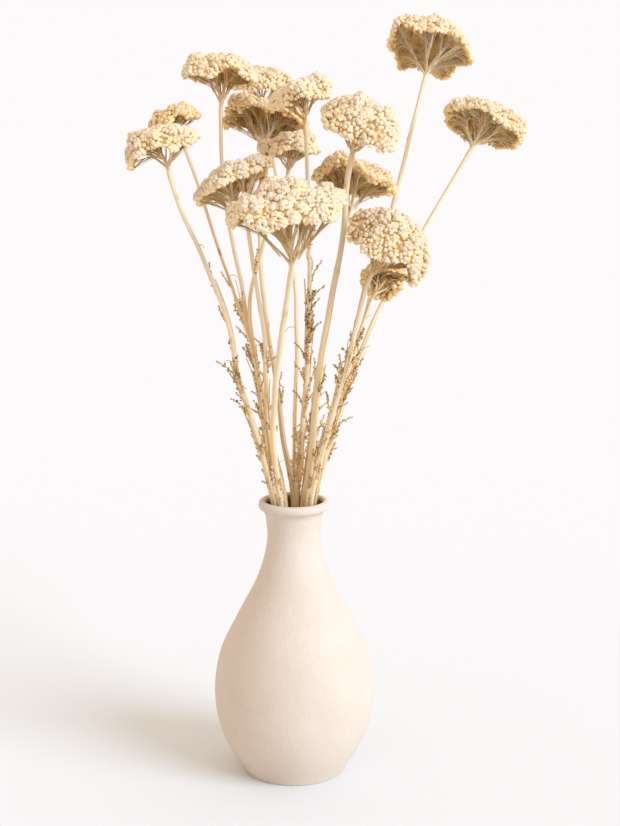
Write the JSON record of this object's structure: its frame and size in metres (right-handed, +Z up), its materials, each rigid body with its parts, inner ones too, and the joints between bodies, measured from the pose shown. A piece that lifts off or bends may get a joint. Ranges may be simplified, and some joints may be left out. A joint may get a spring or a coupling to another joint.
{
  "type": "vase of dried yarrow",
  "caption": "Bottle vase of unglazed cream pottery with a rolled lip, holding a loose spray of dried yarrow: straw stems with leaf shreds and domed cream flower heads.",
  "frame": {"origin": "centre of the vase's foot, on the surface it stands on", "axes": "+Z up along the vase's axis, +X to the picture's right, -Y towards the picture's viewer"},
  "size_m": [0.3024, 0.3123, 0.5901],
  "materials": {
    "pottery": "unglazed matt",
    "straw": "dry, slightly ribbed",
    "florets": "dry, papery"
  },
  "bodies": {
    "root": {"vase": "pottery", "stem_left_front": "straw", "stem_left_back": "straw", "stem_top_left": "straw", "stem_left_mid": "straw", "stem_back_brown": "straw", "stem_back_high": "straw", "stem_front_big": "straw", "stem_mid_small": "straw", "stem_upper_mid": "straw", "stem_right_brown": "straw", "stem_right_high": "straw", "stem_right_curl": "straw", "stem_right_low": "straw", "stem_top_right": "straw", "stem_far_right": "straw", "head_left_front": "florets", "head_left_back": "florets", "head_top_left": "florets", "head_left_mid": "florets", "head_back_brown": "florets", "head_back_high": "florets", "head_front_big": "florets", "head_mid_small": "florets", "head_upper_mid": "florets", "head_right_brown": "florets", "head_right_high": "florets", "head_right_curl": "florets", "head_right_low": "florets", "head_top_right": "florets", "head_far_right": "florets"}
  },
  "joints": []
}
